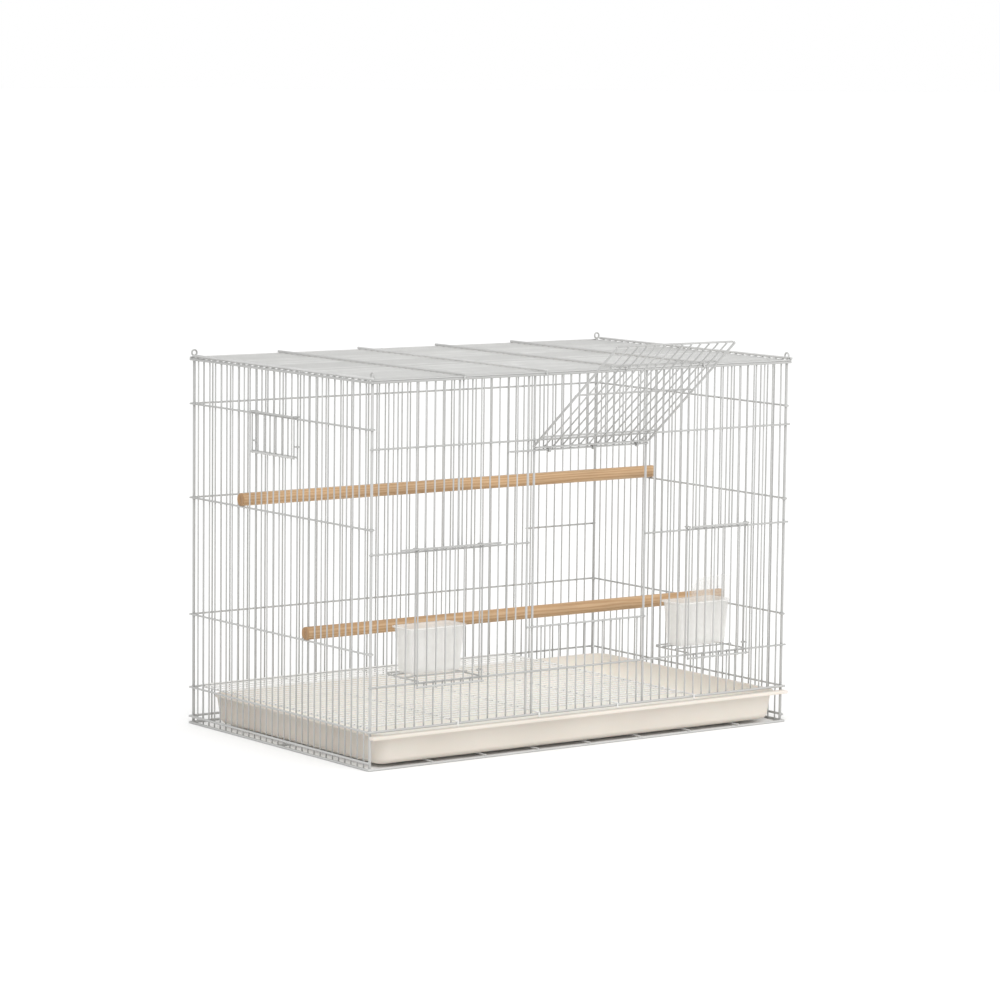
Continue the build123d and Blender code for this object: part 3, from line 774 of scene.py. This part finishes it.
def shellProfile(shape, floorZ, rim):
    # outer foot and wall, round the turned-out rim with softened edges, inner wall and foot
    wall, soft, reach, draft = (shape[key] for key in ("wall", "edgeSoft", "rimReach", "draft"))
    under = rim - shape["rimThick"]
    outer = footArc(floorZ, rim, draft, shape["footRadius"], 0.0)
    outer += [(draft * shape["rimThick"] / (rim - floorZ), under)]
    edge = [(soft - reach, under), (-reach, under + soft), (-reach, rim - soft), (soft - reach, rim)]
    edge += [(wall - soft, rim), (wall, rim - soft)]
    return outer + edge + footArc(floorZ, rim, draft, shape["footRadius"], wall)[::-1]


trayShape = {
    "wall": 2.4 * mm, "draft": 5 * mm, "rimReach": 3 * mm, "rimThick": 2.4 * mm, "corner": 20 * mm,
    "footRadius": 7 * mm, "edgeSoft": 0.8 * mm, "lipReach": 9 * mm, "lipHeight": 4 * mm, "lipSoft": 0.9 * mm,
    "lipPastWall": 10 * mm,        # how far the lip runs out past the pan's wall at each end
    "frontStep": 1.45 * mm,        # the pan starts this far behind the back of the lip
    "lipEnd": 0.3 * mm, "lipShares": (0.72, 0.9, 1.0), "lipPinch": 3, "lipCornerSteps": 4,
}


def trayPan():
    # pan: one shell round the profile; lip: a softened bar across the front, whose section narrows
    # by pinch * (1 - share) * soft edge at its ends
    low, high = (np.array(v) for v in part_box("tray"))
    t, rim = trayShape, high[2]
    halfX = (high[0] - low[0]) / 2 - t["lipPastWall"]
    frontY = low[1] + t["lipReach"] - t["frontStep"]
    backY = high[1] - t["rimReach"]
    centre = np.array([0.0, (frontY + backY) / 2])
    parts = Parts()
    profile = shellProfile(t, low[2], rim)
    shellOf(parts, profile, (halfX, (backY - frontY) / 2), t["corner"], centre, frontY)
    e, end = t["lipSoft"], t["lipEnd"]
    lipY, lipZ = low[1] + t["lipReach"] / 2, rim - t["lipHeight"] / 2
    section = roundedOutline(t["lipReach"] / 2, t["lipHeight"] / 2, e, t["lipCornerSteps"])
    stations = np.array([low[0], low[0] + end, low[0] + e, high[0] - e, high[0] - end, high[0]])
    shrink = np.array([*t["lipShares"], *t["lipShares"][::-1]])
    sizes = np.array([t["lipReach"], t["lipHeight"]])
    shrink = 1 - (1 - shrink)[:, None] * e / sizes[None] * t["lipPinch"]
    count, around = len(stations), len(section)
    lip = np.stack([
        np.broadcast_to(stations[:, None], (count, around)),
        lipY + section[None, :, 0] * shrink[:, :1],
        lipZ + section[None, :, 1] * shrink[:, 1:],
    ], -1)
    poles = [[stations[0], lipY, lipZ], [stations[-1], lipY, lipZ]]
    caps = fanCaps(around, count, count * around, count * around + 1)
    parts.add(np.concatenate([lip.reshape(-1, 3), poles]), gridFaces(count, around), caps)
    piece = parts.piece("tray_pan", cream)
    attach(piece, "tray")
    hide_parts("tray")


trayPan()
print("tray made")

cupShape = {
    "wall": 1.6 * mm, "draft": 5 * mm, "rimReach": 2.4 * mm, "rimThick": 2.0 * mm, "corner": 6 * mm,
    "footRadius": 3.2 * mm, "edgeSoft": 0.5 * mm,
}


def cupShell(nodeName):
    # a drafted cup with a rounded foot and a turned-out rim
    low, high = (np.array(v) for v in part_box(nodeName))
    half = (high[:2] - low[:2]) / 2 - cupShape["rimReach"]
    parts = Parts()
    profile = shellProfile(cupShape, low[2], high[2])
    shellOf(parts, profile, half, cupShape["corner"], (low[:2] + high[:2]) / 2)
    piece = parts.piece(nodeName + "_shell", cupClear)
    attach(piece, nodeName)
    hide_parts(nodeName)


hoodShape = {"wall": 1.4 * mm, "steps": 24, "sharpFrom": 0.6}     # edges sharper than this many radians


def hoodShell():
    # two quarter-ellipse cheeks joined by a curved sheet,
    # y = front + deep * cos(t), z = floor + tall * sin(t)
    low, high = (np.array(v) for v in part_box("seed_guard"))
    wall, steps = hoodShape["wall"], hoodShape["steps"]
    deep, tall = high[1] - low[1], high[2] - low[2]
    turn = np.linspace(0, np.pi / 2, steps)
    shape = bmesh.new()
    cheeks = []
    for x, thin in ((low[0], 0.0), (high[0], 0.0), (low[0] + wall, wall), (high[0] - wall, wall)):
        corner = shape.verts.new((x, low[1], low[2]))
        arc = [
            shape.verts.new((x, low[1] + (deep - thin) * np.cos(a), low[2] + (tall - thin) * np.sin(a)))
            for a in turn
        ]
        cheeks.append((corner, arc))
        for k in range(steps - 1):
            shape.faces.new((corner, arc[k], arc[k + 1]))
    for first, second in ((0, 1), (2, 3)):
        near, far = cheeks[first][1], cheeks[second][1]
        for k in range(steps - 1):
            shape.faces.new((near[k], near[k + 1], far[k + 1], far[k]))
    ends = [(corner, arc[0], arc[-1]) for corner, arc in cheeks]
    outer, inner = ends[:2], ends[2:]
    for end in (1, 2):
        for n in (0, 1):
            shape.faces.new((outer[n][0], outer[n][end], inner[n][end], inner[n][0]))
        shape.faces.new((outer[0][end], outer[1][end], inner[1][end], inner[0][end]))
    bmesh.ops.recalc_face_normals(shape, faces=shape.faces)
    mesh = bpy.data.meshes.new("hood_shell")
    shape.to_mesh(mesh)
    shape.free()
    mesh.materials.append(hoodClear)
    mesh.polygons.foreach_set("use_smooth", np.full(len(mesh.polygons), True))
    mesh.set_sharp_from_angle(angle=hoodShape["sharpFrom"])
    piece = placed("hood_shell", mesh)
    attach(piece, "cup_right")
    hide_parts("seed_guard")


cupShell("cup_left")
cupShell("cup_right")
hoodShell()
print("cups and hood made")


stageLook = {
    "floorHalf": 60.0, "worldLight": 0.74, "worldSeen": 1.0,
    "sunStrength": 1.55, "sunAngle": 1.3, "sunFrom": (-0.55, -0.5, 1.0),
    "fillPower": 14.0, "fillAt": (1.6, -1.5, 1.1), "fillSize": 1.8, "fillAimed": (0, 0, 0.2),
}
h = stageLook["floorHalf"]
floorMesh = bpy.data.meshes.new("studio_floor")
floorMesh.from_pydata([(-h, -h, 0), (h, -h, 0), (h, h, 0), (-h, h, 0)], [], [(0, 1, 2, 3)])
floorMesh.materials.append(paper)
studioFloor = placed("studio_floor", floorMesh)

# The room lights the cage with one strength and is seen, also through clear plastic, with another
world = bpy.data.worlds.new("softRoom")
bpy.context.scene.world = world
world.use_nodes = True
room = world.node_tree
lit, seen = room.nodes["Background"], room.nodes.new("ShaderNodeBackground")
for light, strength in ((lit, stageLook["worldLight"]), (seen, stageLook["worldSeen"])):
    light.inputs["Color"].default_value = (1, 1, 1, 1)
    light.inputs["Strength"].default_value = strength
rays = room.nodes.new("ShaderNodeLightPath").outputs
clearRay = mathOf(room, "MAXIMUM", rays["Is Camera Ray"], rays["Is Transmission Ray"])
mix = room.nodes.new("ShaderNodeMixShader")
room.links.new(clearRay, mix.inputs["Fac"])
room.links.new(lit.outputs["Background"], mix.inputs[1])
room.links.new(seen.outputs["Background"], mix.inputs[2])
room.links.new(mix.outputs["Shader"], room.nodes["World Output"].inputs["Surface"])


def pointAt(thing, target):
    thing.rotation_mode = "QUATERNION"
    thing.rotation_quaternion = (Vector(target) - thing.location).to_track_quat("-Z", "Y")


sun = placed("keyLight", bpy.data.lights.new("keyLight", "SUN"))
sun.data.energy, sun.data.angle = stageLook["sunStrength"], stageLook["sunAngle"]
sun.location = stageLook["sunFrom"]
pointAt(sun, (0, 0, 0))
fill = placed("fillLight", bpy.data.lights.new("fillLight", "AREA"))
fill.data.energy, fill.data.size = stageLook["fillPower"], stageLook["fillSize"]
fill.location = stageLook["fillAt"]
pointAt(fill, stageLook["fillAimed"])

# The camera solved from the photograph, in metres, with its roll in radians
cameraPlace = {
    "at": (-2.74515, -3.730629, 0.802973), "look": (0.591237, 0.798345, -0.114388),
    "roll": 0.01155, "lens": 140.35, "sensor": 36.0, "shiftX": -0.0028, "clip": (0.05, 200.0),
}
camera = placed("photoCamera", bpy.data.cameras.new("photoCamera"))
camera.data.sensor_width, camera.data.lens = cameraPlace["sensor"], cameraPlace["lens"]
camera.data.shift_x = cameraPlace["shiftX"]
camera.data.clip_start, camera.data.clip_end = cameraPlace["clip"]
look = Vector(cameraPlace["look"]).normalized()
right = look.cross(Vector((0, 0, 1))).normalized()
up = right.cross(look)
turn = cameraPlace["roll"]
rightRolled = right * np.cos(turn) + up * np.sin(turn)
upRolled = rightRolled.cross(look)
axes = Matrix((rightRolled, upRolled, -look)).transposed().to_4x4()
camera.matrix_world = Matrix.Translation(cameraPlace["at"]) @ axes
bpy.context.scene.camera = camera
print("light and camera placed")

# Colours are shown as they are, so that the paper stays white
bpy.context.scene.view_settings.view_transform = "Standard"
